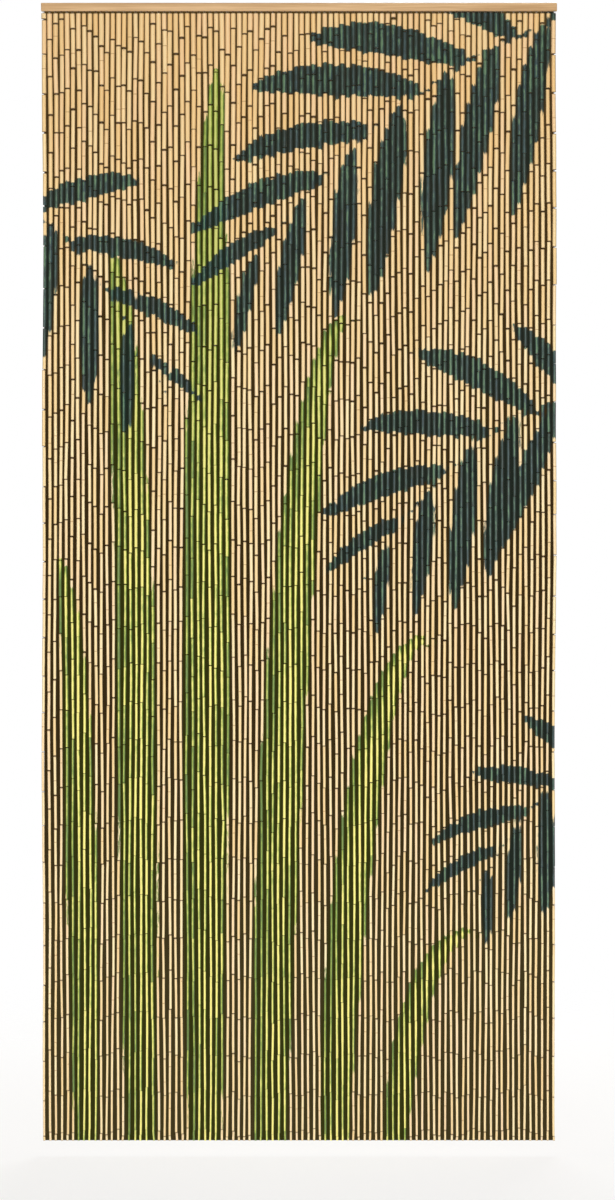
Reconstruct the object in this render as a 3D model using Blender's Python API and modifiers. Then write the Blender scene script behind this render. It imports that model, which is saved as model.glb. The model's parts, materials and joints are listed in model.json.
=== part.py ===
"""A bamboo bead door curtain: ninety strands of bamboo hung side by side from a wooden heading lath.

Metres, +Z up. The origin is the middle of the lath's top face, where the curtain is held. The curtain
hangs in the XZ plane and faces -Y, so a viewer in front of it has +X on the right.
"""

import math
import random

import bmesh
import bpy
from mathutils import Matrix

# Driving dimensions of the curtain
CURTAIN_WIDTH = 0.900
CURTAIN_DROP = 1.985
STRANDS = 90
STRAND_PITCH = CURTAIN_WIDTH / STRANDS

# The heading lath
LATH_HEIGHT = 0.014
LATH_DEPTH = 0.010
LATH_EDGE = 0.0010
LATH_EDGE_STEPS = 2

# The hanging wire that the strands' top eyes are threaded on, a hair below the lath
WIRE_SIZE = 0.0018
WIRE_CLEARANCE = 0.0003
WIRE_TOP = -LATH_HEIGHT - WIRE_CLEARANCE
WIRE_SPAN = CURTAIN_WIDTH - STRAND_PITCH
THREADED_DEPTH = 0.4 * WIRE_SIZE

# A strand, here a four-sided rod as wide as the bamboo, with a bend every few pieces. Its pieces are strung in
# the order in which they were cut from one tapering cane, so it thins from its top to its foot, fastest near
# the top.
TOP_WIDTH = 0.0087
FOOT_WIDTH = 0.0038
TAPER = 0.48
STRAND_TOP = WIRE_TOP - THREADED_DEPTH
STRAND_BENDS = 11
FLAT_TO_FRONT = math.radians(45)
CAP_WELD = 0.0001

# How a hanging strand strays from plumb: its own slow wave, and a wave shared with its neighbours
SWAY_SEED = 407
OWN_SWAY = 0.0007
OWN_WAVE = 0.62
SHARED_SWAY = 0.0011
SHARED_WAVE = 1.70
SHARED_STRANDS = 23.0
FORE_SWAY = 0.0008
FORE_WAVE = 0.83
SETTLE_DEPTH = 0.15

BAMBOO_COLOUR = (0.90, 0.66, 0.39, 1.0)
BAMBOO_ROUGHNESS = 0.45
LATH_COLOUR = (0.56, 0.36, 0.18, 1.0)
LATH_ROUGHNESS = 0.55


def paint(name, colour, roughness):
    """A plain finish for one sub-part."""
    finish = bpy.data.materials.new(name)
    finish.use_nodes = True
    shader = finish.node_tree.nodes["Principled BSDF"]
    shader.inputs["Base Color"].default_value = colour
    shader.inputs["Roughness"].default_value = roughness
    shader.inputs["Metallic"].default_value = 0.0
    return finish


def collection(name):
    """A new collection in the scene."""
    made = bpy.data.collections.new(name)
    bpy.context.scene.collection.children.link(made)
    return made


def box_object(name, size, centre, group):
    """A box of that size, as an object whose own origin is the box's centre."""
    mesh = bpy.data.meshes.new(name)
    shape = bmesh.new()
    bmesh.ops.create_cube(shape, size=1.0)
    bmesh.ops.scale(shape, vec=size, verts=shape.verts)
    shape.to_mesh(mesh)
    shape.free()
    made = bpy.data.objects.new(name, mesh)
    made.location = centre
    group.objects.link(made)
    return made


def strand_x(strand):
    """Where a strand is threaded on the hanging wire."""
    return (strand - (STRANDS - 1) / 2) * STRAND_PITCH


def sway(strand, depth):
    """How far sideways and fore and aft a strand has strayed at a depth below the hanging wire."""
    chance = random.Random(SWAY_SEED + strand)
    own_phase = chance.uniform(0.0, math.tau)
    fore_phase = chance.uniform(0.0, math.tau)
    own = OWN_SWAY * math.sin(math.tau * depth / OWN_WAVE + own_phase)
    shared = SHARED_SWAY * math.sin(math.tau * (depth / SHARED_WAVE + strand / SHARED_STRANDS))
    fore = FORE_SWAY * math.sin(math.tau * depth / FORE_WAVE + fore_phase)
    settled = min(1.0, depth / SETTLE_DEPTH)
    return settled * (own + shared), settled * fore


def strand_curve(strands_drop):
    """All the strands as one curve, laid along its own X: depth runs along X, sideways is Y and forward is Z."""
    curve = bpy.data.curves.new("strand_lines", "CURVE")
    curve.dimensions = "3D"
    curve.bevel_depth = TOP_WIDTH / math.sqrt(2)
    curve.bevel_resolution = 0
    curve.use_fill_caps = True
    for strand in range(STRANDS):
        line = curve.splines.new("POLY")
        line.points.add(STRAND_BENDS)
        for bend, point in enumerate(line.points):
            share = bend / STRAND_BENDS
            depth = strands_drop * share
            sideways, fore = sway(strand, depth)
            point.co = (depth, strand_x(strand) + sideways, fore, 1.0)
            point.tilt = FLAT_TO_FRONT
            point.radius = 1.0 + share**TAPER * (FOOT_WIDTH / TOP_WIDTH - 1.0)
    return curve


def welded_mesh(curve_object):
    """The curve's solid form as a mesh, with its end caps welded on."""
    evaluated = curve_object.evaluated_get(bpy.context.evaluated_depsgraph_get())
    mesh = bpy.data.meshes.new_from_object(evaluated)
    shape = bmesh.new()
    shape.from_mesh(mesh)
    bmesh.ops.remove_doubles(shape, verts=shape.verts, dist=CAP_WELD)
    bmesh.ops.recalc_face_normals(shape, faces=shape.faces)
    shape.to_mesh(mesh)
    shape.free()
    return mesh


def heading_lath(group):
    """The planed wooden lath that carries the curtain, its long edges eased."""
    lath = box_object(
        "heading_lath", (CURTAIN_WIDTH, LATH_DEPTH, LATH_HEIGHT), (0.0, 0.0, -LATH_HEIGHT / 2), group
    )
    lath.data.materials.append(paint("lath_wood", LATH_COLOUR, LATH_ROUGHNESS))
    eased = lath.modifiers.new("eased_edges", "BEVEL")
    eased.width = LATH_EDGE
    eased.segments = LATH_EDGE_STEPS
    return lath


def bamboo_strands(group, guides):
    """The ninety strands, hung apart and joined only at their tops by the wire they are threaded on."""
    lines = bpy.data.objects.new("strand_lines", strand_curve(CURTAIN_DROP + STRAND_TOP))
    guides.objects.link(lines)
    # Turns the curve's +X to point down, its +Y to the curtain's +X, and its +Z to the front, -Y
    hang = Matrix(((0, 1, 0, 0), (0, 0, -1, 0), (-1, 0, 0, STRAND_TOP), (0, 0, 0, 1)))
    lines.matrix_world = hang
    bpy.context.view_layer.update()
    rods = bpy.data.objects.new("strand_rods", welded_mesh(lines))
    guides.objects.link(rods)
    rods.matrix_world = hang
    rods.hide_render = True
    rods.display_type = "WIRE"
    bpy.data.objects.remove(lines)

    strands = box_object(
        "bamboo_strands", (WIRE_SPAN, WIRE_SIZE, WIRE_SIZE), (0.0, 0.0, WIRE_TOP - WIRE_SIZE / 2), group
    )
    strands.data.materials.append(paint("bamboo", BAMBOO_COLOUR, BAMBOO_ROUGHNESS))
    threaded = strands.modifiers.new("threaded_on_wire", "BOOLEAN")
    threaded.operation = "UNION"
    threaded.object = rods
    return strands


def build():
    """Clears the scene and hangs the curtain in a collection of its own."""
    for leftover in list(bpy.data.objects):
        bpy.data.objects.remove(leftover)
    curtain = collection("bamboo_door_curtain")
    guides = collection("guides")
    heading_lath(curtain)
    bamboo_strands(curtain, guides)


build()
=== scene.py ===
"""The looks of a bamboo bead door curtain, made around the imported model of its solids.

Metres, +Z up. The curtain hangs in the XZ plane under a wooden lath, and its painted front faces -Y.
"""

import json
import math
import random

import bmesh
import bpy
import numpy as np
from mathutils import Matrix, Quaternion, Vector

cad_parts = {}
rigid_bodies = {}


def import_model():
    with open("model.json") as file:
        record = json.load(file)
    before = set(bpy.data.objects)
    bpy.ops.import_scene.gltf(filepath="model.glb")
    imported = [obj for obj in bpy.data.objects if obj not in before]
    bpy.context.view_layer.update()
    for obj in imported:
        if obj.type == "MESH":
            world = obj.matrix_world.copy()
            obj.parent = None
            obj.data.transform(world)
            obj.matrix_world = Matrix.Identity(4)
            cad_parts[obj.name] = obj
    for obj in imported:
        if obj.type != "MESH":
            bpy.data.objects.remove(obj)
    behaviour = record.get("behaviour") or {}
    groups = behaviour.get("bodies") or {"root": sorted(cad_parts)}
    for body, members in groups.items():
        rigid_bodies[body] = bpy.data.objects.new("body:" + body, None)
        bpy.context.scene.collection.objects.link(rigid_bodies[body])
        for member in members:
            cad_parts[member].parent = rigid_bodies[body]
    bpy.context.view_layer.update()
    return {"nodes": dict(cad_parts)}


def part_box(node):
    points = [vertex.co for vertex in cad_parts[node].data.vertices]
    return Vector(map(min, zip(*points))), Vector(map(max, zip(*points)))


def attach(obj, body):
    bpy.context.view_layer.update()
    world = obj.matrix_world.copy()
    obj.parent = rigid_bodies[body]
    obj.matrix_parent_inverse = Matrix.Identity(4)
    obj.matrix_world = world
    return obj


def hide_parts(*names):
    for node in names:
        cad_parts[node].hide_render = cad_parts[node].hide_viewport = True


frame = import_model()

scene = bpy.context.scene
MM = 0.001


# Camera
# It looks square on at the painted front from far enough away that the strands stay parallel, and the
# curtain fills the same part of the picture as in the photo.
PHOTO_WIDTH, PHOTO_HEIGHT = 615, 1200
CURTAIN_LEFT, CURTAIN_RIGHT = 41, 557
STRANDS_TOP, STRANDS_BOTTOM = 11, 1141
LENS = 120.0
SENSOR = 36.0

strands_low, strands_high = (Vector(corner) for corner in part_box("bamboo_strands"))
strands_middle = (strands_low + strands_high) / 2
pixel = (strands_high.z - strands_low.z) / (STRANDS_BOTTOM - STRANDS_TOP)
camera_data = bpy.data.cameras.new("camera")
camera_data.lens = LENS
camera_data.sensor_width = SENSOR
camera = bpy.data.objects.new("camera", camera_data)
camera.location = (
    (PHOTO_WIDTH - CURTAIN_LEFT - CURTAIN_RIGHT) / 2 * pixel,
    strands_low.y - PHOTO_HEIGHT * pixel * LENS / SENSOR,
    strands_middle.z - (PHOTO_HEIGHT - STRANDS_TOP - STRANDS_BOTTOM) / 2 * pixel,
)
camera.rotation_euler = (math.radians(90), 0, 0)
scene.collection.objects.link(camera)
scene.camera = camera
scene.view_settings.view_transform = "Standard"


# Stage
# A plain pale floor that fades into the white round it, a dim warm light from all round, and what every
# section uses to make its nodes, materials and objects.
WHITE = (1.0, 1.0, 1.0, 1.0)
AMBIENT = 0.15
AMBIENT_COLOUR = (1.0, 0.74, 0.44, 1.0)
FLOOR_DROP = 25 * MM
FLOOR_RADIUS = 3.2
FLOOR_SOLID_RADIUS = 0.9
FLOOR_SIDES = 96
FLOOR_COLOUR = (0.86, 0.86, 0.86, 1.0)
FLOOR_WHITENED = 0.72


def put(tree, socket, value):
    """Links a socket to another one, or sets it to a plain value."""
    if isinstance(value, bpy.types.NodeSocket):
        tree.links.new(value, socket)
    else:
        socket.default_value = value


def add(tree, kind, inputs=None, **settings):
    """A new node with its settings, and its inputs by name."""
    made = tree.nodes.new(kind)
    for name, value in settings.items():
        setattr(made, name, value)
    for name, value in (inputs or {}).items():
        put(tree, made.inputs[name], value)
    return made


def calc(tree, operation, first, second=0.0, third=0.0):
    """One step of arithmetic."""
    made = add(tree, "ShaderNodeMath", operation=operation)
    for socket, value in zip(made.inputs, (first, second, third)):
        put(tree, socket, value)
    return made.outputs[0]


def new_material(name):
    """An empty material with its node tree and output."""
    material = bpy.data.materials.new(name)
    material.use_nodes = True
    tree = material.node_tree
    tree.nodes.clear()
    return material, tree, add(tree, "ShaderNodeOutputMaterial")


def link_mesh(name, mesh):
    """Puts a mesh in the scene as an object at the origin."""
    made = bpy.data.objects.new(name, mesh)
    scene.collection.objects.link(made)
    return made


world = bpy.data.worlds.new("pale_room")
world.use_nodes = True
scene.world = world
sky = world.node_tree
sky.nodes.clear()
seen = add(sky, "ShaderNodeBackground", {"Color": WHITE, "Strength": 1.0})
lit = add(sky, "ShaderNodeBackground", {"Color": AMBIENT_COLOUR, "Strength": AMBIENT})
choice = add(sky, "ShaderNodeMixShader", {0: add(sky, "ShaderNodeLightPath").outputs["Is Camera Ray"]})
sky.links.new(lit.outputs[0], choice.inputs[1])
sky.links.new(seen.outputs[0], choice.inputs[2])
add(sky, "ShaderNodeOutputWorld", {"Surface": choice.outputs[0]})

floor_shape = bmesh.new()
bmesh.ops.create_circle(floor_shape, cap_ends=True, radius=FLOOR_RADIUS, segments=FLOOR_SIDES)
floor_mesh = bpy.data.meshes.new("floor")
floor_shape.to_mesh(floor_mesh)
floor_shape.free()
floor = link_mesh("floor", floor_mesh)
floor.location.z = strands_low.z - FLOOR_DROP
floor_paper, paper, paper_out = new_material("floor_paper")
place = add(paper, "ShaderNodeTexCoord").outputs["Object"]
away = add(paper, "ShaderNodeVectorMath", {0: place}, operation="LENGTH").outputs["Value"]
fade = add(
    paper,
    "ShaderNodeMapRange",
    {"Value": away, "From Min": FLOOR_SOLID_RADIUS, "From Max": FLOOR_RADIUS},
    interpolation_type="SMOOTHSTEP",
)
matte = add(paper, "ShaderNodeBsdfDiffuse", {"Color": FLOOR_COLOUR})
white_paper = add(paper, "ShaderNodeEmission", {"Color": WHITE, "Strength": 1.0})
clear = add(paper, "ShaderNodeBsdfTransparent")
whitened = calc(paper, "MULTIPLY", add(paper, "ShaderNodeLightPath").outputs["Is Camera Ray"], FLOOR_WHITENED)
pale = add(paper, "ShaderNodeMixShader", {0: whitened})
paper.links.new(matte.outputs[0], pale.inputs[1])
paper.links.new(white_paper.outputs[0], pale.inputs[2])
faded = add(paper, "ShaderNodeMixShader", {0: fade.outputs[0]})
paper.links.new(pale.outputs[0], faded.inputs[1])
paper.links.new(clear.outputs[0], faded.inputs[2])
paper.links.new(faded.outputs[0], paper_out.inputs["Surface"])
floor_mesh.materials.append(floor_paper)


# Lights
# Soft boxes: a tall one in front, which leaves the tubes' flanks dark, two faint ones at the sides, and one
# high up behind for the back, so high that it draws no bright line down the tubes' edges.
LIGHTS = (
    # name, place, aimed at, width, height, watts
    ("front_box", (-0.10, -4.6, -1.15), (0.0, 0.0, -1.0), 1.0, 2.2, 212.0),
    ("left_box", (-2.3, -2.6, -0.9), (0.0, 0.0, -1.0), 0.7, 2.0, 4.0),
    ("right_box", (2.3, -2.6, -0.9), (0.0, 0.0, -1.0), 0.7, 2.0, 4.0),
    ("back_box", (0.5, 3.0, 1.9), (0.0, 0.0, -1.0), 1.8, 1.4, 205.0),
)
for name, spot, target, width, height, watts in LIGHTS:
    light = bpy.data.lights.new(name, "AREA")
    light.shape = "RECTANGLE"
    light.size = width
    light.size_y = height
    light.energy = watts
    box = bpy.data.objects.new(name, light)
    box.location = spot
    box.rotation_euler = (Vector(target) - Vector(spot)).to_track_quat("-Z", "Y").to_euler()
    box.visible_camera = False
    scene.collection.objects.link(box)


# Strands
# Ninety strings of bamboo tubes, hooked on screw eyes 10 mm apart and linked end to end. Each thins from top
# to foot, as the one tapering cane that its tubes are cut from, and hangs with a stray of its own and one
# that its neighbours share. Its joints gape less low down, where less weight pulls them open.
STRANDS = 90
STRAND_PITCH = 10 * MM
SWAY_SEED, STRAND_SEED = 407, 9000
OWN_SWAY, OWN_WAVE = 0.7 * MM, 0.62
SHARED_SWAY, SHARED_WAVE, SHARED_STRANDS = 1.1 * MM, 1.70, 23.0
FORE_SWAY, FORE_WAVE = 0.8 * MM, 0.83
SETTLE_DEPTH = 0.15
TUBE_LENGTH = 67.7 * MM
TUBE_LENGTH_SPREAD = 0.055
FIRST_TUBE = (9 * MM, 74 * MM)
LAST_TUBE = (5 * MM, 22 * MM)
WHOLE_TUBE = 0.8
JOINT_GAP = (0.5 * MM, 3.8 * MM)
SHUT_JOINT = 0.3 * MM
JOINT_STRAY = 0.18 * MM
KINKED_SHARE, KINK = 0.05, 3.0
TUBE_STEP = 0.22 * MM
TOP_RADIUS, FOOT_RADIUS, TAPER = 4.35 * MM, 1.88 * MM, 0.48
STRAND_SPREAD = 0.035
TUBE_SPREAD = 0.030
SPREAD_LIMIT = 0.08
BOW = 0.07 * MM
KNUCKLE_SHARE, KNUCKLED_FORMS = 0.22, (1, 2)
BRUSH_SLIP_STRAND = 2.2 * MM
BRUSH_SLIP_TUBE = 0.8 * MM
HOOK_DROP = 3.6 * MM
FOOT_CLEARANCE = 0.3 * MM
GRAIN_SEEDS = (0.0, 40.0)

wire_level = strands_high.z
tubes_top = wire_level - HOOK_DROP
tubes_bottom = strands_low.z + FOOT_CLEARANCE


def strand_x(strand):
    """Where a strand is hooked under the lath."""
    return (strand - (STRANDS - 1) / 2) * STRAND_PITCH


def sway(strand, depth):
    """How far a strand has strayed from plumb at a depth, as in the solids: sideways, and fore and aft."""
    chance = random.Random(SWAY_SEED + strand)
    own_phase = chance.uniform(0.0, math.tau)
    fore_phase = chance.uniform(0.0, math.tau)
    own = OWN_SWAY * math.sin(math.tau * depth / OWN_WAVE + own_phase)
    shared = SHARED_SWAY * math.sin(math.tau * (depth / SHARED_WAVE + strand / SHARED_STRANDS))
    fore = FORE_SWAY * math.sin(math.tau * depth / FORE_WAVE + fore_phase)
    settled = min(1.0, depth / SETTLE_DEPTH)
    return settled * (own + shared), settled * fore


def joint_heights(chance):
    """The heights at which one strand's tubes meet, from under the lath to the cut bottom end."""
    first = tubes_top - chance.uniform(*FIRST_TUBE)
    last = tubes_bottom + chance.uniform(*LAST_TUBE)
    count = round((first - last) / TUBE_LENGTH)
    lengths = [chance.gauss(1.0, TUBE_LENGTH_SPREAD) for _ in range(count)]
    scale = (first - last) / sum(lengths)
    heights = [tubes_top, first]
    for length in lengths[:-1]:
        heights.append(heights[-1] - length * scale)
    return heights + [last, tubes_bottom]


def radius_at(height):
    """A strand's usual radius at a height."""
    share = (wire_level - height) / (wire_level - tubes_bottom)
    return TOP_RADIUS + (FOOT_RADIUS - TOP_RADIUS) * share**TAPER


def hang_strand(strand):
    """One strand's tubes and wire eyes, as rows of named values."""
    chance = random.Random(STRAND_SEED + strand)
    home = strand_x(strand)
    build = chance.gauss(1.0, STRAND_SPREAD)
    strand_slip = chance.gauss(0.0, BRUSH_SLIP_STRAND)
    joints = []
    for height in joint_heights(chance):
        sideways, fore = sway(strand, wire_level - height)
        stray = chance.gauss(0.0, JOINT_STRAY) * (KINK if chance.random() < KINKED_SHARE else 1.0)
        joints.append(Vector((home + sideways + stray, -fore, height)))
    tubes = []
    for upper, lower in zip(joints, joints[1:]):
        down = (lower - upper).normalized()
        weight_below = (upper.z - tubes_bottom) / (tubes_top - tubes_bottom)
        gap = max(SHUT_JOINT, chance.uniform(*JOINT_GAP) * math.sqrt(weight_below)) / 2
        turn = Quaternion((0, 0, 1), chance.uniform(0.0, math.tau))
        lean = Vector((0, 0, -1)).rotation_difference(down) @ turn
        girth = min(1 + SPREAD_LIMIT, max(1 - SPREAD_LIMIT, build * chance.gauss(1.0, TUBE_SPREAD)))
        radius = girth * radius_at((upper.z + lower.z) / 2)
        step = Vector((chance.gauss(0.0, TUBE_STEP), chance.gauss(0.0, TUBE_STEP), 0.0))
        top = upper + down * (gap if upper is not joints[0] else 0.0)
        length = (lower - down * (gap if lower is not joints[-1] else 0.0) - top).length
        whole = length > WHOLE_TUBE * TUBE_LENGTH
        tubes.append(
            {
                "at": top + step,
                "lean": lean.to_euler(),
                "size": (radius, radius, length),
                "long": length / MM,
                "bow": (chance.gauss(0.0, BOW) * whole, 0.0, 0.0),
                "form": chance.randint(*KNUCKLED_FORMS) if whole and chance.random() < KNUCKLE_SHARE else 0,
                "tone": chance.random(),
                "seed": chance.uniform(*GRAIN_SEEDS),
                "home": home,
                "slip": strand_slip + chance.gauss(0.0, BRUSH_SLIP_TUBE),
            }
        )
    eyes = [
        {"at": joint, "turn": chance.uniform(0.0, math.tau), "girth": radius_at(joint.z) / TOP_RADIUS}
        for joint in joints[1:-1]
    ]
    return tubes, eyes


hung = [hang_strand(strand) for strand in range(STRANDS)]


# Bamboo tubes
# Thin bamboo culm sawn square into 68 mm lengths, each end closed by a flat disc inside the bore ring that
# the finish paints dark as the shade in a hollow bore. Some keep a natural knuckle, a low ridge round the
# tube. Fifteen strands of them are joined as one mesh.
TUBE_SIDES = 8
TUBE_SPANS = 5
BORE = 0.52
KNUCKLES = (None, 0.36, 0.63)
KNUCKLE_HALF = 0.018
KNUCKLE_RISE = 1.045
KNUCKLE_APART = 0.3
WALL_WOBBLE = 0.16 * MM
WOBBLE_SCALE = 38.0
STRANDS_A_MESH = 15
SMOOTH_UNDER = math.radians(50)


def tube_profile(knuckle):
    """A tube's outline from one bore's edge to the other's, as rows of radius, distance along and mark."""
    walls = [(1.0, step / TUBE_SPANS, "") for step in range(1, TUBE_SPANS)]
    if knuckle:
        walls = [row for row in walls if abs(row[1] - knuckle) > KNUCKLE_APART]
        walls += [
            (1.0, knuckle - KNUCKLE_HALF, ""),
            (KNUCKLE_RISE, knuckle, "knuckle"),
            (1.0, knuckle + KNUCKLE_HALF, ""),
        ]
        walls.sort(key=lambda row: row[1])
    return [(BORE, 0.0, "cut"), (1.0, 0.0, "")] + walls + [(1.0, 1.0, ""), (BORE, 1.0, "cut")]


def turned(profile, sides):
    """A mesh turned about Z from a profile and closed at its ends, hanging down from the origin."""
    shape = bmesh.new()
    cut = shape.verts.layers.float.new("cut")
    knuckle = shape.verts.layers.float.new("knuckle")
    points = []
    for radius, along, mark in profile:
        point = shape.verts.new((radius, 0.0, -along))
        point[cut] = float(mark == "cut")
        point[knuckle] = float(mark == "knuckle")
        points.append(point)
    lines = [shape.edges.new(pair) for pair in zip(points, points[1:])]
    bmesh.ops.spin(
        shape,
        geom=points + lines,
        cent=(0, 0, 0),
        axis=(0, 0, 1),
        angle=math.tau,
        steps=sides,
        use_merge=True,
    )
    bmesh.ops.holes_fill(shape, edges=shape.edges)
    bmesh.ops.recalc_face_normals(shape, faces=shape.faces)
    mesh = bpy.data.meshes.new("tube")
    shape.to_mesh(mesh)
    shape.free()
    mesh.shade_smooth()
    mesh.set_sharp_from_angle(angle=SMOOTH_UNDER)
    return mesh


def mark_points(mesh, name, values):
    """Gives each of a mesh's points a number."""
    mesh.attributes.new(name, "FLOAT", "POINT").data.foreach_set("value", values)


def named(tree, name, data_type):
    """The value of a named attribute in a geometry tree."""
    read = add(tree, "GeometryNodeInputNamedAttribute", {"Name": name}, data_type=data_type)
    return read.outputs["Attribute"]


def geometry_tree(name, *inputs):
    """A geometry tree with named inputs, each a name and a kind, and the two ends of its geometry."""
    tree = bpy.data.node_groups.new(name, "GeometryNodeTree")
    tree.interface.new_socket(name="Geometry", in_out="INPUT", socket_type="NodeSocketGeometry")
    for label, kind in inputs:
        tree.interface.new_socket(name=label, in_out="INPUT", socket_type="NodeSocket" + kind)
    tree.interface.new_socket(name="Geometry", in_out="OUTPUT", socket_type="NodeSocketGeometry")
    return tree, add(tree, "NodeGroupInput"), add(tree, "NodeGroupOutput")


def hung_tubes_tree():
    """Sets one of the tube forms at each point, bows it, and makes its wall a little uneven."""
    tree, given, made = geometry_tree(
        "hung_tubes",
        ("Forms", "Collection"),
        ("Finish", "Material"),
        ("Wobble", "Float"),
        ("Wobble Scale", "Float"),
    )
    forms = add(
        tree,
        "GeometryNodeCollectionInfo",
        {"Collection": given.outputs["Forms"], "Separate Children": True, "Reset Children": True},
    )
    placed = add(
        tree,
        "GeometryNodeInstanceOnPoints",
        {
            "Points": given.outputs["Geometry"],
            "Instance": forms.outputs["Instances"],
            "Pick Instance": True,
            "Instance Index": named(tree, "form", "INT"),
            "Rotation": named(tree, "lean", "FLOAT_VECTOR"),
            "Scale": named(tree, "size", "FLOAT_VECTOR"),
        },
    )
    real = add(tree, "GeometryNodeRealizeInstances", {"Geometry": placed.outputs["Instances"]})
    bow = add(tree, "ShaderNodeVectorMath", operation="SCALE")
    put(tree, bow.inputs[0], named(tree, "bow", "FLOAT_VECTOR"))
    put(tree, bow.inputs["Scale"], named(tree, "belly", "FLOAT"))
    bowed = add(
        tree,
        "GeometryNodeSetPosition",
        {"Geometry": real.outputs["Geometry"], "Offset": bow.outputs["Vector"]},
    )
    noise = add(tree, "ShaderNodeTexNoise", {"Scale": given.outputs["Wobble Scale"], "Detail": 1.0})
    swing = calc(tree, "SUBTRACT", noise.outputs[0], 0.5)
    push = calc(tree, "MULTIPLY", swing, given.outputs["Wobble"])
    outward = add(tree, "ShaderNodeVectorMath", operation="SCALE")
    put(tree, outward.inputs[0], add(tree, "GeometryNodeInputNormal").outputs["Normal"])
    put(tree, outward.inputs["Scale"], push)
    uneven = add(
        tree,
        "GeometryNodeSetPosition",
        {"Geometry": bowed.outputs["Geometry"], "Offset": outward.outputs["Vector"]},
    )
    coated = add(
        tree,
        "GeometryNodeSetMaterial",
        {"Geometry": uneven.outputs["Geometry"], "Material": given.outputs["Finish"]},
    )
    put(tree, made.inputs["Geometry"], coated.outputs["Geometry"])
    return tree


def kind_of(value):
    """The kind of attribute that carries a value."""
    if isinstance(value, int):
        return "INT"
    return "FLOAT" if isinstance(value, float) else "FLOAT_VECTOR"


def points_mesh(name, rows):
    """A mesh of bare points, one for each row, that carry the row's other values as attributes."""
    mesh = bpy.data.meshes.new(name)
    mesh.from_pydata([row["at"] for row in rows], [], [])
    for key, value in rows[0].items():
        if key == "at":
            continue
        kind = kind_of(value)
        wide = kind == "FLOAT_VECTOR"
        flat = np.array([tuple(row[key]) if wide else row[key] for row in rows])
        layer = mesh.attributes.new(key, kind, "POINT")
        layer.data.foreach_set("vector" if wide else "value", flat.ravel())
    return mesh


def grown(name, rows, tree, **inputs):
    """Runs a geometry tree on the rows' points and keeps the result as a plain mesh object."""
    seedling = link_mesh(name + "_points", points_mesh(name + "_points", rows))
    growth = seedling.modifiers.new("growth", "NODES")
    growth.node_group = tree
    for socket in tree.interface.items_tree:
        if socket.in_out == "INPUT" and socket.name in inputs:
            growth[socket.identifier] = inputs[socket.name]
    graph = bpy.context.evaluated_depsgraph_get()
    mesh = bpy.data.meshes.new_from_object(
        seedling.evaluated_get(graph), preserve_all_data_layers=True, depsgraph=graph
    )
    bpy.data.objects.remove(seedling)
    mesh.name = name
    return link_mesh(name, mesh)


tube_forms = bpy.data.collections.new("tube_forms")
scene.collection.children.link(tube_forms)
for number, knuckle in enumerate(KNUCKLES):
    form_mesh = turned(tube_profile(knuckle), TUBE_SIDES)
    along = [min(1.0, max(0.0, -point.co.z)) for point in form_mesh.vertices]
    mark_points(form_mesh, "along", along)
    mark_points(form_mesh, "belly", [math.sin(math.pi * share) for share in along])
    tube_forms.objects.link(bpy.data.objects.new(f"tube_form_{number}", form_mesh))


# Painted leaves
# A plain leaf design brushed over the hanging strands, so that it steps from strand to strand: tall reed
# blades from the foot and palm fronds from the sides. Each tube's points carry their depth inside the
# nearest stroke, in millimetres.
STROKE_STEPS = 22
PAINT_REACH = 9 * MM
PAINT_FOLLOWS_STRAY = 0.06
BLADE_FOOT = strands_low.z - 40 * MM
BLADE_LOW_BEND, BLADE_HIGH_BEND = (0.05, 0.45), 0.35
BLADE_FOOT_SHARE, BLADE_SWELL = 0.60, 1.6
BLADE_POINT = (2.2, 0.85)
# foot x, tip x, tip z, how far the tip nods, widest
REED_BLADES = (
    (-0.372, -0.425, -0.980, 0.080, 0.062),
    (-0.275, -0.335, -0.430, 0.050, 0.080),
    (-0.165, -0.140, -0.110, 0.045, 0.092),
    (-0.050, 0.105, -0.560, 0.130, 0.086),
    (0.060, 0.255, -1.130, 0.140, 0.074),
    (0.165, 0.330, -1.640, 0.090, 0.056),
)
# foot x and z, tip x and z, rise of the arch, pairs of leaflets, longest leaflet
PALM_FRONDS = (
    (0.530, -0.020, -0.120, -0.500, 0.200, 7, 0.320),
    (0.530, -0.700, 0.110, -1.010, 0.190, 5, 0.270),
    (0.530, -1.340, 0.300, -1.560, 0.110, 4, 0.200),
    (-0.530, -0.330, -0.230, -0.690, 0.140, 4, 0.230),
)
LEAFLETS_FROM, LEAFLET_STAGGER = 0.10, 0.45
LEAFLET_WIDTH = 0.175
LEAFLET_WIDEST, LEAFLET_ROUNDING = 0.42, (0.55, 0.76)
LEAFLET_DROOP, LEAFLET_BEND = 0.20, 0.6
LEAFLET_SPREAD, LEAFLET_STRAY = (64.0, 24.0), 4.0
LEAFLET_SHORTEST, LEAFLET_ARCH = 0.72, 0.38
LEAFLET_AT_FOOT, LEAFLET_SHRINKS = 1.05, 0.45
LEAFLET_LUCK = (0.90, 1.08)
STEM_WIDTH, STEM_FOOT = 9 * MM, 1.15


def bent_line(*guides):
    """Points along a smooth line drawn towards its guide points, and how far along each is, from 0 to 1."""
    along = np.linspace(0.0, 1.0, STROKE_STEPS)
    last = len(guides) - 1
    points = np.zeros((STROKE_STEPS, 2))
    for number, guide in enumerate(guides):
        weight = math.comb(last, number) * (1 - along) ** (last - number) * along**number
        points += weight[:, None] * np.array(guide, dtype=float)
    return points, along


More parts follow.
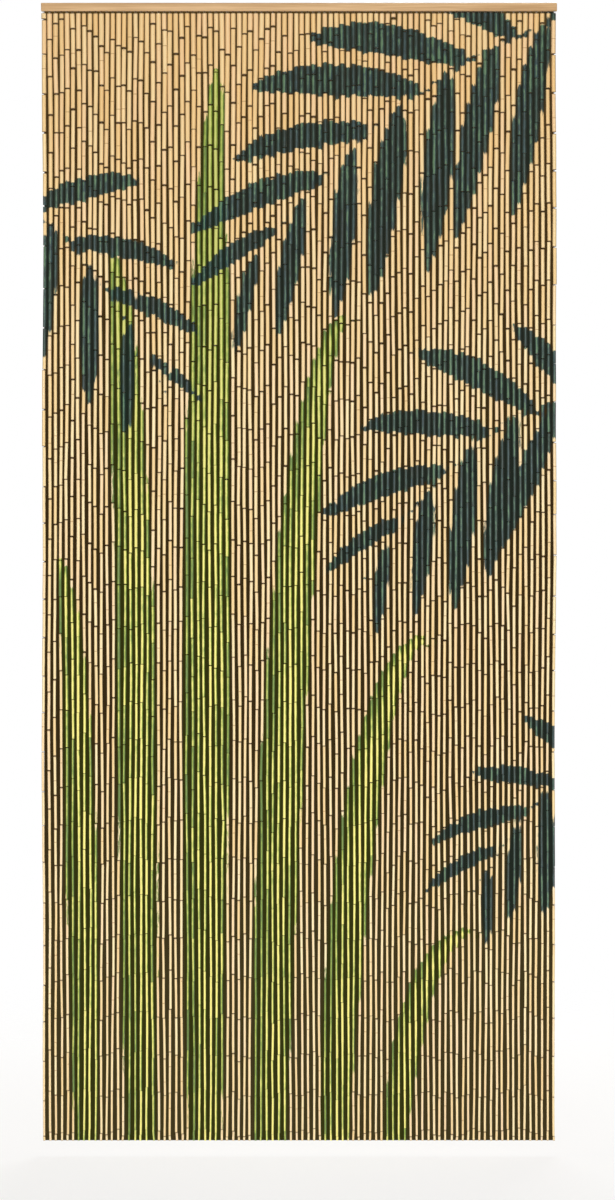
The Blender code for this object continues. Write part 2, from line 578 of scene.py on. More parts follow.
def reed_blade(foot_x, tip_x, tip_z, nod, widest):
    """A reed blade that rises from the curtain's foot, widest halfway up, and nods at its tip."""
    tall = tip_z - BLADE_FOOT
    aside = tip_x - foot_x
    points, along = bent_line(
        (foot_x, BLADE_FOOT),
        (foot_x + BLADE_LOW_BEND[0] * aside, BLADE_FOOT + BLADE_LOW_BEND[1] * tall),
        (foot_x + BLADE_HIGH_BEND * aside, tip_z + nod),
        (tip_x, tip_z),
    )
    swell = BLADE_FOOT_SHARE + BLADE_SWELL * along * (1 - along)
    return points, widest / 2 * swell * (1 - along ** BLADE_POINT[0]) ** BLADE_POINT[1]


def palm_frond(foot_x, foot_z, tip_x, tip_z, rise, pairs, longest):
    """A palm frond: an arched stem, and drooping leaflets in pairs that lean towards its tip."""
    chance = random.Random(round(foot_z * 1000))
    crest = ((foot_x + tip_x) / 2, (foot_z + tip_z) / 2 + rise)
    stem, along = bent_line((foot_x, foot_z), crest, (tip_x, tip_z))
    heading = np.gradient(stem, axis=0)
    strokes = [(stem, STEM_WIDTH / 2 * (STEM_FOOT - along))]
    for side in (-1, 1):
        for pair in range(pairs):
            where = LEAFLETS_FROM + (1 - LEAFLETS_FROM) * (pair + (side > 0) * LEAFLET_STAGGER) / pairs
            root, forward = (
                np.array([np.interp(where, along, line[:, axis]) for axis in (0, 1)])
                for line in (stem, heading)
            )
            stray = chance.uniform(-LEAFLET_STRAY, LEAFLET_STRAY)
            spread = math.radians(np.interp(where, (0.0, 1.0), LEAFLET_SPREAD) + stray)
            aim = math.atan2(forward[1], forward[0]) + side * spread
            length = longest * (LEAFLET_SHORTEST + LEAFLET_ARCH * math.sin(math.pi * where))
            length *= LEAFLET_AT_FOOT - LEAFLET_SHRINKS * where
            length *= chance.uniform(*LEAFLET_LUCK)
            reach = root + length * np.array((math.cos(aim), math.sin(aim)))
            tip = reach - np.array((0.0, LEAFLET_DROOP * length))
            points, step = bent_line(root, root + LEAFLET_BEND * (reach - root), tip)
            rounded = (step / LEAFLET_WIDEST) ** LEAFLET_ROUNDING[0]
            rounded = rounded * ((1 - step) / (1 - LEAFLET_WIDEST)) ** LEAFLET_ROUNDING[1]
            strokes.append((points, LEAFLET_WIDTH * length / 2 * rounded))
    return strokes


def depth_inside(strokes, across, up):
    """How deep each place lies inside the nearest stroke, negative outside, and how far off its middle."""
    depth = np.full(len(across), -PAINT_REACH)
    side = np.zeros(len(across))
    for points, half_width in strokes:
        low = points.min(axis=0) - PAINT_REACH - half_width.max()
        high = points.max(axis=0) + PAINT_REACH + half_width.max()
        near = np.flatnonzero((across > low[0]) & (across < high[0]) & (up > low[1]) & (up < high[1]))
        place = np.column_stack((across[near], up[near]))
        for number in range(len(points) - 1):
            line = points[number + 1] - points[number]
            share = np.clip(((place - points[number]) @ line) / (line @ line), 0.0, 1.0)
            offset = place - points[number] - share[:, None] * line
            half = half_width[number] * (1 - share) + half_width[number + 1] * share
            distance = np.hypot(offset[:, 0], offset[:, 1])
            deeper = half - distance > depth[near]
            chosen = near[deeper]
            depth[chosen] = (half - distance)[deeper]
            left_of = np.sign(line[0] * offset[:, 1] - line[1] * offset[:, 0])
            side[chosen] = (left_of * distance / np.maximum(half, MM))[deeper]
    return depth / MM, side


blade_strokes = [reed_blade(*row) for row in REED_BLADES]
leaf_strokes = [stroke for row in PALM_FRONDS for stroke in palm_frond(*row)]


def values_of(mesh, name):
    """A named attribute of the points, as an array."""
    found = np.empty(len(mesh.vertices))
    mesh.attributes[name].data.foreach_get("value", found)
    return found


def point_places(mesh):
    """Where a mesh's points are, as an array of three columns."""
    places = np.empty(len(mesh.vertices) * 3)
    mesh.vertices.foreach_get("co", places)
    return places.reshape(-1, 3)


def brush_on(mesh):
    """Writes the painted design's attributes to a mesh of tubes."""
    places = point_places(mesh)
    home = values_of(mesh, "home")
    across = home + PAINT_FOLLOWS_STRAY * (places[:, 0] - home)
    up = places[:, 2] + values_of(mesh, "slip")
    leaf, _ = depth_inside(leaf_strokes, across, up)
    blade, blade_side = depth_inside(blade_strokes, across, up)
    normals = np.empty(len(mesh.vertices) * 3)
    mesh.vertex_normals.foreach_get("vector", normals)
    behind = np.clip(normals.reshape(-1, 3)[:, 1], 0.0, 1.0)
    for name, found in (("leaf", leaf), ("blade", blade), ("blade_side", blade_side), ("behind", behind)):
        mark_points(mesh, name, found)


# Bamboo finish
# Straw-coloured bamboo under a thin clear varnish, with fine fibres along each tube, a tone of its own
# from tube to tube, brown at the sawn ends and knuckles, and thin streaky paint over it. Painted shade
# makes the straw warmer and darker towards the top and fills each bore dark, and the paint carries a
# painted highlight a little left of each tube's crest and painted shade on its flanks.
STRAW_GOLD = (0.83, 0.635, 0.325, 1.0)
STRAW_PALE = (0.89, 0.775, 0.485, 1.0)
STRAW_PINK = (0.88, 0.700, 0.455, 1.0)
# Painted shade: the straw is multiplied by this, warmer and darker, towards the top.
STRAW_TOP_SHADE = (0.97, 0.875, 0.775, 1.0)
TOP_SHADE_FROM, TOP_SHADE_TO = -0.80, -0.02
PINK_TUBES, PINK_SHOWS = (0.55, 0.95), 0.8
STRAW_FIBRE, FIBRE_SHOWS = (0.62, 0.38, 0.16, 1.0), 0.30
FRECKLE, FRECKLE_SHOWS = (0.30, 0.14, 0.05, 1.0), 0.55
KNUCKLE_BROWN, KNUCKLE_SHOWS = (0.34, 0.17, 0.06, 1.0), 0.75
# Sawn end faces darken towards the bore ring, and the disc inside it is painted dark as the bore's shade.
SAWN_END_AND_BORE_SHADE, SAWN_AND_BORE_SHADE_SHOWS = (0.055, 0.028, 0.012, 1.0), 0.95
END_STAIN, STAIN_SHOWS = (0.13, 0.060, 0.022, 1.0), 0.85
STAIN_DEPTH = (0.6, 2.0)
TOP_STAIN_RATE, FOOT_STAIN_RATE = 7.3, 3.7
BAMBOO_ROUGH = (0.42, 0.58)
VARNISH_BARE, VARNISH_PAINTED = 0.05, 0.18
# Paint colours; the palest leaf colour doubles as painted highlight, the deepest greens as painted shade.
LEAF_DEEP = (0.006, 0.028, 0.031, 1.0)
LEAF_BODY = (0.016, 0.060, 0.050, 1.0)
LEAF_BLUE = (0.012, 0.051, 0.068, 1.0)
LEAF_THIN_AND_HIGHLIGHT = (0.078, 0.172, 0.098, 1.0)
BLADE_EDGE = (0.080, 0.165, 0.030, 1.0)
BLADE_GREEN = (0.26, 0.370, 0.045, 1.0)
BLADE_OLIVE = (0.52, 0.560, 0.150, 1.0)
BLADE_YELLOW = (0.84, 0.780, 0.230, 1.0)
YELLOW_FROM, YELLOW_TO = -0.30, -1.10
LEAF_SHOWS, BLADE_SHOWS, PAINT_BEHIND = 0.97, 0.96, 0.62
BLADE_MIDDLE_ASIDE = 0.18
BLADE_BY_TUBE, BLADE_BY_STREAK, BLADE_BY_DAB = 0.7, 0.3, 1.3
BLADE_GREENS, BLADE_EDGES = (0.30, 0.95), (0.85, 1.35)
LEAF_BY_TUBE, LEAF_BY_DAB, LEAF_BLUE_RATE = 0.6, 2.6, 5.1
LEAF_BODIES, LEAF_THINS = (0.25, 0.85), (0.95, 1.45)
FIBRE_EDGE, FLECK_EDGE, FLECK_SCALE = (0.34, 0.66), (0.73, 0.79), 310.0
FINE_SHARE, BROAD_SHARE, BROAD_SCALE = 0.55, 0.45, 0.22
BAMBOO_STRETCH = (1500.0, 1500.0, 22.0)
BRUSH_STRETCH = (420.0, 420.0, 60.0)
BRUSH_EDGE = 0.5
BRUSH_RAGGED = 2.6
DAB_SCALE = 62.0
# Painted highlight a little left of each painted tube's crest, and painted shade on its flanks.
HIGHLIGHT_ASIDE = 0.18
HIGHLIGHT_BAND, PAINTED_CREST_HIGHLIGHT, PAINTED_FLANK_SHADE = (0.05, 0.85), -0.28, 0.42


def group_tree(name, inputs, outputs):
    """A shader group with named inputs and outputs, each a name and a kind, and its two ends."""
    tree = bpy.data.node_groups.new(name, "ShaderNodeTree")
    for label, kind in inputs:
        tree.interface.new_socket(name=label, in_out="INPUT", socket_type="NodeSocket" + kind)
    for label, kind in outputs:
        tree.interface.new_socket(name=label, in_out="OUTPUT", socket_type="NodeSocket" + kind)
    return tree, add(tree, "NodeGroupInput"), add(tree, "NodeGroupOutput")


def ramp(tree, value, low, high, start=0.0, end=1.0):
    """A smooth change from one value to another between two limits."""
    made = add(
        tree,
        "ShaderNodeMapRange",
        {"Value": value, "From Min": low, "From Max": high, "To Min": start, "To Max": end},
        interpolation_type="SMOOTHSTEP",
    )
    return made.outputs[0]


def blend(tree, share, first, second, way="MIX"):
    """A mix of two colours."""
    made = add(tree, "ShaderNodeMix", data_type="RGBA", blend_type=way)
    put(tree, made.inputs[0], share)
    put(tree, made.inputs[6], first)
    put(tree, made.inputs[7], second)
    return made.outputs[2]


def long_grain_group():
    """Fibres drawn out along a piece of bamboo or wood, and scattered flecks."""
    tree, given, made = group_tree(
        "long_grain",
        (("Place", "Vector"), ("Stretch", "Vector"), ("Seed", "Float")),
        (("Fibre", "Float"), ("Fleck", "Float")),
    )
    place, seed = given.outputs["Place"], given.outputs["Seed"]
    drawn = add(tree, "ShaderNodeVectorMath", {0: place, 1: given.outputs["Stretch"]}, operation="MULTIPLY")
    fine = add(
        tree,
        "ShaderNodeTexNoise",
        {"Vector": drawn.outputs[0], "W": seed, "Scale": 1.0, "Detail": 3.0, "Roughness": 0.65},
        noise_dimensions="4D",
    )
    broad = add(
        tree,
        "ShaderNodeTexNoise",
        {"Vector": drawn.outputs[0], "W": seed, "Scale": BROAD_SCALE, "Detail": 1.0},
        noise_dimensions="4D",
    )
    broader = calc(tree, "MULTIPLY", broad.outputs[0], BROAD_SHARE)
    both = calc(tree, "MULTIPLY_ADD", fine.outputs[0], FINE_SHARE, broader)
    fleck = add(
        tree,
        "ShaderNodeTexNoise",
        {"Vector": place, "W": seed, "Scale": FLECK_SCALE, "Detail": 1.0},
        noise_dimensions="4D",
    )
    put(tree, made.inputs["Fibre"], ramp(tree, both, *FIBRE_EDGE))
    put(tree, made.inputs["Fleck"], ramp(tree, fleck.outputs[0], *FLECK_EDGE))
    return tree


def carried(tree, name):
    """A number that the mesh's points carry."""
    return add(tree, "ShaderNodeAttribute", attribute_name=name, attribute_type="GEOMETRY").outputs["Fac"]


long_grain = long_grain_group()


def grain_of(tree, place, stretch, seed):
    """A use of the long grain group, with its own stretch."""
    given = {"Place": place, "Stretch": stretch, "Seed": seed}
    return add(tree, "ShaderNodeGroup", given, node_tree=long_grain)


def stained(tree, distance, seed, rate):
    """How dark a tube is at a distance in millimetres from its end, over a depth that differs by tube."""
    share = calc(tree, "FRACT", calc(tree, "MULTIPLY", seed, rate))
    depth = calc(tree, "MULTIPLY_ADD", share, STAIN_DEPTH[1] - STAIN_DEPTH[0], STAIN_DEPTH[0])
    return ramp(tree, distance, 0.0, depth, STAIN_SHOWS, 0.0)


def bamboo_finish():
    """Varnished bamboo with thin green and yellow-green paint where the strokes are."""
    material, tree, out = new_material("painted_bamboo")
    place = add(tree, "ShaderNodeTexCoord").outputs["Object"]
    tone, seed = carried(tree, "tone"), carried(tree, "seed")
    grain = grain_of(tree, place, BAMBOO_STRETCH, seed)
    streak = grain_of(tree, place, BRUSH_STRETCH, seed).outputs["Fibre"]
    dabs = add(
        tree,
        "ShaderNodeTexNoise",
        {"Vector": place, "W": seed, "Scale": DAB_SCALE, "Detail": 4.0, "Roughness": 0.72},
        noise_dimensions="4D",
    )
    uneven = calc(tree, "SUBTRACT", dabs.outputs[0], 0.5)

    colour = blend(tree, tone, STRAW_GOLD, STRAW_PALE)
    pinker = ramp(tree, calc(tree, "FRACT", seed), *PINK_TUBES, 0.0, PINK_SHOWS)
    colour = blend(tree, pinker, colour, STRAW_PINK)
    height = add(tree, "ShaderNodeSeparateXYZ", {0: place}).outputs["Z"]
    # Painted shade, warmer and darker towards the top.
    colour = blend(tree, ramp(tree, height, TOP_SHADE_FROM, TOP_SHADE_TO), colour, STRAW_TOP_SHADE, "MULTIPLY")
    colour = blend(tree, calc(tree, "MULTIPLY", grain.outputs["Fibre"], FIBRE_SHOWS), colour, STRAW_FIBRE)
    colour = blend(tree, calc(tree, "MULTIPLY", grain.outputs["Fleck"], FRECKLE_SHOWS), colour, FRECKLE)
    knuckle = calc(tree, "MULTIPLY", carried(tree, "knuckle"), KNUCKLE_SHOWS)
    colour = blend(tree, knuckle, colour, KNUCKLE_BROWN)

    from_top = calc(tree, "MULTIPLY", carried(tree, "along"), carried(tree, "long"))
    from_foot = calc(tree, "SUBTRACT", carried(tree, "long"), from_top)
    top_stain = stained(tree, from_top, seed, TOP_STAIN_RATE)
    foot_stain = stained(tree, from_foot, seed, FOOT_STAIN_RATE)
    colour = blend(tree, calc(tree, "MAXIMUM", top_stain, foot_stain), colour, END_STAIN)

    # Painted highlight a little left of each tube's crest, and painted shade on its flanks, from the normal.
    facing = add(tree, "ShaderNodeSeparateXYZ", {0: add(tree, "ShaderNodeNewGeometry").outputs["Normal"]})
    aside = calc(tree, "ABSOLUTE", calc(tree, "ADD", facing.outputs["X"], HIGHLIGHT_ASIDE))
    painted_highlight_and_shade = ramp(tree, aside, *HIGHLIGHT_BAND, PAINTED_CREST_HIGHLIGHT, PAINTED_FLANK_SHADE)
    thin_behind = ramp(tree, carried(tree, "behind"), 0.0, 0.6, 1.0, PAINT_BEHIND)
    edge_noise = calc(tree, "MULTIPLY", calc(tree, "SUBTRACT", streak, 0.5), BRUSH_RAGGED)
    blade_depth = calc(tree, "ADD", carried(tree, "blade"), edge_noise)
    blade_cover = calc(tree, "MULTIPLY", ramp(tree, blade_depth, -BRUSH_EDGE, BRUSH_EDGE), thin_behind)
    off_middle = calc(tree, "ABSOLUTE", calc(tree, "ADD", carried(tree, "blade_side"), BLADE_MIDDLE_ASIDE))
    own_green = calc(tree, "MULTIPLY", calc(tree, "SUBTRACT", tone, 0.5), BLADE_BY_TUBE)
    streaky = calc(tree, "MULTIPLY", streak, BLADE_BY_STREAK)
    greener_and_painted_shade = calc(tree, "ADD", calc(tree, "ADD", off_middle, own_green), streaky)
    greener_and_painted_shade = calc(tree, "ADD", calc(tree, "MULTIPLY_ADD", uneven, BLADE_BY_DAB, greener_and_painted_shade), painted_highlight_and_shade)
    blade_light = blend(tree, ramp(tree, height, YELLOW_TO, YELLOW_FROM), BLADE_YELLOW, BLADE_OLIVE)
    blade_colour = blend(tree, ramp(tree, greener_and_painted_shade, *BLADE_GREENS), blade_light, BLADE_GREEN)
    blade_colour = blend(tree, ramp(tree, greener_and_painted_shade, *BLADE_EDGES), blade_colour, BLADE_EDGE)
    colour = blend(tree, calc(tree, "MULTIPLY", blade_cover, BLADE_SHOWS), colour, blade_colour)

    leaf_depth = calc(tree, "ADD", carried(tree, "leaf"), edge_noise)
    leaf_cover = calc(tree, "MULTIPLY", ramp(tree, leaf_depth, -BRUSH_EDGE, BRUSH_EDGE), thin_behind)
    # Leaf paint wear, with the painted highlight and painted shade across the tube added in.
    wear_and_painted_light = calc(tree, "SUBTRACT", calc(tree, "MULTIPLY_ADD", tone, LEAF_BY_TUBE, streak), painted_highlight_and_shade)
    wear_and_painted_light = calc(tree, "MULTIPLY_ADD", uneven, LEAF_BY_DAB, wear_and_painted_light)
    bluer = calc(tree, "FRACT", calc(tree, "MULTIPLY", seed, LEAF_BLUE_RATE))
    leaf_body = blend(tree, bluer, LEAF_BODY, LEAF_BLUE)
    leaf_colour = blend(tree, ramp(tree, wear_and_painted_light, *LEAF_BODIES), LEAF_DEEP, leaf_body)
    leaf_colour = blend(tree, ramp(tree, wear_and_painted_light, *LEAF_THINS), leaf_colour, LEAF_THIN_AND_HIGHLIGHT)
    colour = blend(tree, calc(tree, "MULTIPLY", leaf_cover, LEAF_SHOWS), colour, leaf_colour)

    # The sawn ends, darkening inwards, and painted shade on the end disc inside the bore ring.
    colour = blend(tree, calc(tree, "MULTIPLY", carried(tree, "cut"), SAWN_AND_BORE_SHADE_SHOWS), colour, SAWN_END_AND_BORE_SHADE)
    bump = add(
        tree, "ShaderNodeBump", {"Strength": 0.25, "Distance": 0.15 * MM, "Height": grain.outputs["Fibre"]}
    )
    painted = calc(tree, "MAXIMUM", blade_cover, leaf_cover)
    shader = add(
        tree,
        "ShaderNodeBsdfPrincipled",
        {
            "Base Color": colour,
            "Roughness": ramp(tree, grain.outputs["Fibre"], 0.0, 1.0, *BAMBOO_ROUGH),
            "Specular IOR Level": 0.22,
            "Coat Weight": ramp(tree, painted, 0.0, 1.0, VARNISH_BARE, VARNISH_PAINTED),
            "Coat Roughness": 0.28,
            "Normal": bump.outputs["Normal"],
        },
    )
    put(tree, out.inputs["Surface"], shader.outputs[0])
    return material


painted_bamboo = bamboo_finish()
tubes_tree = hung_tubes_tree()
for number, start in enumerate(range(0, STRANDS, STRANDS_A_MESH), 1):
    rows = [tube for tubes, _ in hung[start : start + STRANDS_A_MESH] for tube in tubes]
    strands = grown(
        f"bamboo_tubes_{number}",
        rows,
        tubes_tree,
        **{
            "Forms": tube_forms,
            "Finish": painted_bamboo,
            "Wobble": WALL_WOBBLE,
            "Wobble Scale": WOBBLE_SCALE,
        },
    )
    brush_on(strands.data)
    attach(strands, "root")
    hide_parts("bamboo_strands")
for form in list(tube_forms.objects):
    bpy.data.objects.remove(form)
bpy.data.collections.remove(tube_forms)


# Wire eyes
# Each tube has a steel wire down its bore with an eye bent at both ends. Two linked eyes close each
# joint, one turned across the other, and show only as dark metal in the gap.
EYE_RADIUS = 1.25 * MM
EYE_TALL = 1.9
EYE_STEPS = 6
EYE_WIRE = 0.32 * MM
EYE_WIRE_SIDES = 3
EYE_OFFSET = 1.75 * MM
WIRE_COLOUR = (0.24, 0.21, 0.17, 1.0)
WIRE_RUST = (0.12, 0.065, 0.035, 1.0)
BLOOM_SCALE, BLOOM_EDGE = 240.0, (0.42, 0.66)
BLOOM_METAL, BLOOM_ROUGH = (0.95, 0.45), (0.34, 0.68)
STRANDS_OF_EYES = 30
UPRIGHT, UPRIGHT_ACROSS = (math.radians(90), 0, 0), (math.radians(90), 0, math.radians(90))


def ring_in_tree(tree, across, wire, steps, sides):
    """A round wire ring of a given radius, lying in the tree's XY plane."""
    path = add(tree, "GeometryNodeCurvePrimitiveCircle", {"Radius": across, "Resolution": steps})
    section = add(tree, "GeometryNodeCurvePrimitiveCircle", {"Radius": wire, "Resolution": sides})
    ring = add(
        tree,
        "GeometryNodeCurveToMesh",
        {"Curve": path.outputs["Curve"], "Profile Curve": section.outputs["Curve"]},
    )
    return ring.outputs["Mesh"]


def moved(tree, geometry, offset, turn, scale):
    """A turned and stretched copy of some geometry."""
    made = add(
        tree,
        "GeometryNodeTransform",
        {"Geometry": geometry, "Translation": offset, "Rotation": turn, "Scale": scale},
    )
    return made.outputs["Geometry"]


def wire_tree_end(tree, given, made, instances):
    """Makes a tree's instances real and smooth, gives them their finish and puts them out."""
    real = add(tree, "GeometryNodeRealizeInstances", {"Geometry": instances})
    smooth = add(tree, "GeometryNodeSetShadeSmooth", {"Geometry": real.outputs["Geometry"]})
    coated = add(
        tree,
        "GeometryNodeSetMaterial",
        {"Geometry": smooth.outputs["Geometry"], "Material": given.outputs["Finish"]},
    )
    put(tree, made.inputs["Geometry"], coated.outputs["Geometry"])
    return tree


def wire_eyes_tree():
    """Sets two linked eyes at each joint, one reaching up into the bore above and one down."""
    tree, given, made = geometry_tree(
        "wire_eyes", ("Finish", "Material"), ("Eye Radius", "Float"), ("Wire Radius", "Float")
    )
    eye_radius, wire = given.outputs["Eye Radius"], given.outputs["Wire Radius"]
    ring = ring_in_tree(tree, eye_radius, wire, EYE_STEPS, EYE_WIRE_SIDES)
    upper = moved(tree, ring, (0, 0, EYE_OFFSET), UPRIGHT, (1, EYE_TALL, 1))
    lower = moved(tree, ring, (0, 0, -EYE_OFFSET), UPRIGHT_ACROSS, (1, EYE_TALL, 1))
    pair = add(tree, "GeometryNodeJoinGeometry")
    tree.links.new(upper, pair.inputs[0])
    tree.links.new(lower, pair.inputs[0])
    spin = add(tree, "ShaderNodeCombineXYZ", {"Z": named(tree, "turn", "FLOAT")})
    placed = add(
        tree,
        "GeometryNodeInstanceOnPoints",
        {
            "Points": given.outputs["Geometry"],
            "Instance": pair.outputs["Geometry"],
            "Rotation": spin.outputs["Vector"],
            "Scale": named(tree, "girth", "FLOAT"),
        },
    )
    return wire_tree_end(tree, given, made, placed.outputs["Instances"])


def wire_finish():
    """Dull annealed steel wire with a brown bloom."""
    material, tree, out = new_material("annealed_wire")
    place = add(tree, "ShaderNodeTexCoord").outputs["Object"]
    bloom = add(tree, "ShaderNodeTexNoise", {"Vector": place, "Scale": BLOOM_SCALE, "Detail": 3.0})
    browned = ramp(tree, bloom.outputs[0], *BLOOM_EDGE)
    shader = add(
        tree,
        "ShaderNodeBsdfPrincipled",
        {
            "Base Color": blend(tree, browned, WIRE_COLOUR, WIRE_RUST),
            "Metallic": ramp(tree, browned, 0.0, 1.0, *BLOOM_METAL),
            "Roughness": ramp(tree, browned, 0.0, 1.0, *BLOOM_ROUGH),
        },
    )
    put(tree, out.inputs["Surface"], shader.outputs[0])
    return material


annealed_wire = wire_finish()
eyes_tree = wire_eyes_tree()
for number, start in enumerate(range(0, STRANDS, STRANDS_OF_EYES), 1):
    rows = [eye for _, eyes in hung[start : start + STRANDS_OF_EYES] for eye in eyes]
    eyes_mesh = grown(
        f"wire_eyes_{number}",
        rows,
        eyes_tree,
        **{"Finish": annealed_wire, "Eye Radius": EYE_RADIUS, "Wire Radius": EYE_WIRE},
    )
    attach(eyes_mesh, "root")


# Screw eyes
# A row of small steel screw eyes in the lath's underside, one for each strand, and the top wire eye
# of the strand hooked through each.
SCREW_RING = 1.75 * MM
SCREW_WIRE = 0.42 * MM
SCREW_STEPS = 12
SCREW_SIDES = 6
SHANK_LENGTH = 1.6 * MM
SHANK_BITE = 0.9 * MM
LOOP_RADIUS = 1.2 * MM
LOOP_WIRE = 0.34 * MM
LOOP_TALL, LOOP_HANG = 1.8, 1.5
RING_CLEARANCE = 0.1 * MM


def screw_eyes_tree():
    """Sets at each point under the lath a screw eye with its shank, and the strand's wire loop in it."""
    tree, given, made = geometry_tree(
        "screw_eyes", ("Finish", "Material"), ("Ring Radius", "Float"), ("Wire Radius", "Float")
    )
    ring_radius, wire = given.outputs["Ring Radius"], given.outputs["Wire Radius"]
    eye = ring_in_tree(tree, ring_radius, wire, SCREW_STEPS, SCREW_SIDES)
    loop = ring_in_tree(tree, LOOP_RADIUS, LOOP_WIRE, SCREW_STEPS, SCREW_SIDES)
    shank = add(
        tree,
        "GeometryNodeMeshCylinder",
        {"Vertices": SCREW_SIDES, "Radius": wire, "Depth": SHANK_LENGTH},
    )
    ring_level = -SCREW_RING - RING_CLEARANCE
    loop_level = ring_level - SCREW_RING - LOOP_RADIUS * LOOP_HANG + 2 * SCREW_WIRE
    parts = (
        moved(tree, eye, (0, 0, ring_level), UPRIGHT, (1, 1, 1)),
        moved(tree, shank.outputs["Mesh"], (0, 0, SHANK_BITE - SHANK_LENGTH / 2), (0, 0, 0), (1, 1, 1)),
        moved(tree, loop, (0, 0, loop_level), UPRIGHT_ACROSS, (1, LOOP_TALL, 1)),
    )
    whole = add(tree, "GeometryNodeJoinGeometry")
    for part in parts:
        tree.links.new(part, whole.inputs[0])
    placed = add(
        tree,
        "GeometryNodeInstanceOnPoints",
        {"Points": given.outputs["Geometry"], "Instance": whole.outputs["Geometry"]},
    )
    return wire_tree_end(tree, given, made, placed.outputs["Instances"])


lath_low, lath_high = (Vector(corner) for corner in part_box("heading_lath"))
screw_rows = [{"at": Vector((strand_x(strand), 0.0, lath_low.z))} for strand in range(STRANDS)]
screw_eyes = grown(
    "screw_eyes",
    screw_rows,
    screw_eyes_tree(),
    **{"Finish": annealed_wire, "Ring Radius": SCREW_RING, "Wire Radius": SCREW_WIRE},
)
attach(screw_eyes, "root")


# Heading lath
# A slim lath of planed softwood, oiled brown, with its long edges eased. It carries the whole curtain.
# Its shape is the solid's own, so it only gets its wood.
WOOD_LIGHT = (0.66, 0.44, 0.225, 1.0)
WOOD_DARK = (0.45, 0.27, 0.120, 1.0)
WOOD_END = (0.30, 0.17, 0.070, 1.0)
WOOD_STRETCH = (9.0, 420.0, 420.0)
WOOD_SEED = 3.0
WOOD_ROUGH = (0.46, 0.62)
END_GRAIN = (0.9, 0.98)
FLECKS_SHOW = 0.4


def wood_finish():
    """Oiled softwood with its grain along the lath and darker end grain."""
    material, tree, out = new_material("oiled_softwood")
    place = add(tree, "ShaderNodeTexCoord").outputs["Object"]
    grain = grain_of(tree, place, WOOD_STRETCH, WOOD_SEED)
    facing = add(tree, "ShaderNodeSeparateXYZ", {0: add(tree, "ShaderNodeTexCoord").outputs["Normal"]})
    end = ramp(tree, calc(tree, "ABSOLUTE", facing.outputs["X"]), *END_GRAIN)
    colour = blend(tree, grain.outputs["Fibre"], WOOD_LIGHT, WOOD_DARK)
    colour = blend(tree, calc(tree, "MULTIPLY", grain.outputs["Fleck"], FLECKS_SHOW), colour, WOOD_DARK)
    colour = blend(tree, end, colour, WOOD_END)
    bump = add(
        tree, "ShaderNodeBump", {"Strength": 0.3, "Distance": 0.2 * MM, "Height": grain.outputs["Fibre"]}
    )
    shader = add(
        tree,
        "ShaderNodeBsdfPrincipled",
        {
            "Base Color": colour,
            "Roughness": ramp(tree, grain.outputs["Fibre"], 0.0, 1.0, *WOOD_ROUGH),
            "Specular IOR Level": 0.4,
            "Normal": bump.outputs["Normal"],
        },
    )
    put(tree, out.inputs["Surface"], shader.outputs[0])
    return material


lath = frame["nodes"]["heading_lath"]
lath.data.materials.clear()
lath.data.materials.append(wood_finish())


# Painted gap shade
# A sheet close to the strands on either side, each seen only through them, glows with painted shade
# that darkens the gaps between the tubes. The painted shade is lighter at the top and the foot than in
# the middle, and takes on some of the paint's colour behind the painted strokes.
SHADE_SHEET_GAP = 1 * MM
SHADE_SHEET_INSET = 4.5 * MM
SHADE_SHEET_RISE = 3.5 * MM
# Painted shade for the gaps, graded down the sheet:
# share of the way down, colour
PAINTED_GAP_SHADES = (
    (0.00, (0.088, 0.054, 0.0180, 1.0)),
    (0.10, (0.060, 0.034, 0.0110, 1.0)),
    (0.25, (0.048, 0.028, 0.0085, 1.0)),
    (0.45, (0.037, 0.022, 0.0070, 1.0)),
    (0.65, (0.037, 0.023, 0.0075, 1.0)),
    (0.85, (0.050, 0.037, 0.0130, 1.0)),
)
# Painted shade tints for the gaps behind leaf and blade strokes.
PAINTED_GAP_SHADE_LEAF = (0.011, 0.020, 0.017, 1.0)
PAINTED_GAP_SHADE_BLADE = (0.030, 0.033, 0.005, 1.0)
SHADE_SHEET_COLUMNS, SHADE_SHEET_ROWS = 120, 200
GAP_SHADE_PAINT_EDGE, GAP_SHADE_PAINT_SHOWS = 4.0, 0.85


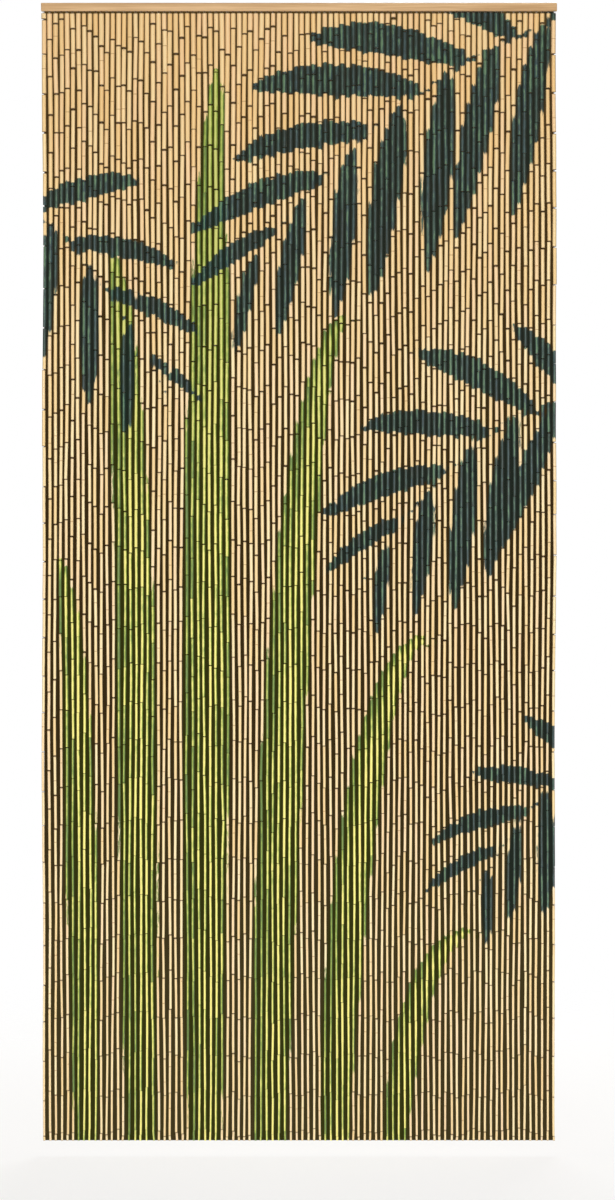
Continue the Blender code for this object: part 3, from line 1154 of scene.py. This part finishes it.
def gap_shade_finish(top, bottom):
    """Painted shade as a dark glow on the sheet's front face, for the camera alone, between two heights."""
    material, tree, out = new_material("painted_gap_shade")
    seen_front = calc(
        tree,
        "MULTIPLY",
        add(tree, "ShaderNodeLightPath").outputs["Is Camera Ray"],
        calc(tree, "SUBTRACT", 1.0, add(tree, "ShaderNodeNewGeometry").outputs["Backfacing"]),
    )
    on_sheet = add(tree, "ShaderNodeSeparateXYZ", {0: add(tree, "ShaderNodeTexCoord").outputs["Object"]})
    height = on_sheet.outputs["Z"]
    down = add(tree, "ShaderNodeMapRange", {"Value": height, "From Min": top, "From Max": bottom})
    shade = add(tree, "ShaderNodeValToRGB", {"Fac": down.outputs[0]})
    stops = shade.color_ramp.elements
    while len(stops) < len(PAINTED_GAP_SHADES):
        stops.new(1.0)
    for stop, (share, colour) in zip(stops, PAINTED_GAP_SHADES):
        stop.position = share
        stop.color = colour
    colour = shade.outputs["Color"]
    # The painted shade takes a painted tint where a stroke lies in front of the sheet.
    for name, paint in (("blade", PAINTED_GAP_SHADE_BLADE), ("leaf", PAINTED_GAP_SHADE_LEAF)):
        cover = ramp(tree, carried(tree, name), -GAP_SHADE_PAINT_EDGE, GAP_SHADE_PAINT_EDGE, 0.0, GAP_SHADE_PAINT_SHOWS)
        colour = blend(tree, cover, colour, paint)
    glow = add(tree, "ShaderNodeEmission", {"Color": colour, "Strength": 1.0})
    sided = add(tree, "ShaderNodeMixShader", {0: seen_front})
    tree.links.new(add(tree, "ShaderNodeBsdfTransparent").outputs[0], sided.inputs[1])
    tree.links.new(glow.outputs[0], sided.inputs[2])
    put(tree, out.inputs["Surface"], sided.outputs[0])
    return material


shade_sheet_across = strands_high.x - strands_low.x - 2 * SHADE_SHEET_INSET
shade_sheet_top = strands_high.z + SHADE_SHEET_RISE
shade_sheet_tall = shade_sheet_top - strands_low.z
gap_shade_material = gap_shade_finish(shade_sheet_top, strands_low.z)
for side, spot, turn in (("back", strands_high.y + SHADE_SHEET_GAP, 0), ("front", strands_low.y - SHADE_SHEET_GAP, 180)):
    placed = (
        Matrix.Translation((strands_middle.x, spot, shade_sheet_top - shade_sheet_tall / 2))
        @ Matrix.Rotation(math.radians(turn), 4, "Z")
        @ Matrix.Diagonal((shade_sheet_across, 1.0, shade_sheet_tall, 1.0))
        @ Matrix.Rotation(math.radians(90), 4, "X")
    )
    shade_sheet_shape = bmesh.new()
    bmesh.ops.create_grid(
        shade_sheet_shape, x_segments=SHADE_SHEET_COLUMNS, y_segments=SHADE_SHEET_ROWS, size=0.5, matrix=placed
    )
    shade_sheet_mesh = bpy.data.meshes.new("dark_room_" + side)
    shade_sheet_shape.to_mesh(shade_sheet_mesh)
    shade_sheet_shape.free()
    places = point_places(shade_sheet_mesh)
    for name, strokes in (("leaf", leaf_strokes), ("blade", blade_strokes)):
        depth, _ = depth_inside(strokes, places[:, 0], places[:, 2])
        mark_points(shade_sheet_mesh, name, depth)
    shade_sheet_mesh.materials.append(gap_shade_material)
    link_mesh("dark_room_" + side, shade_sheet_mesh)
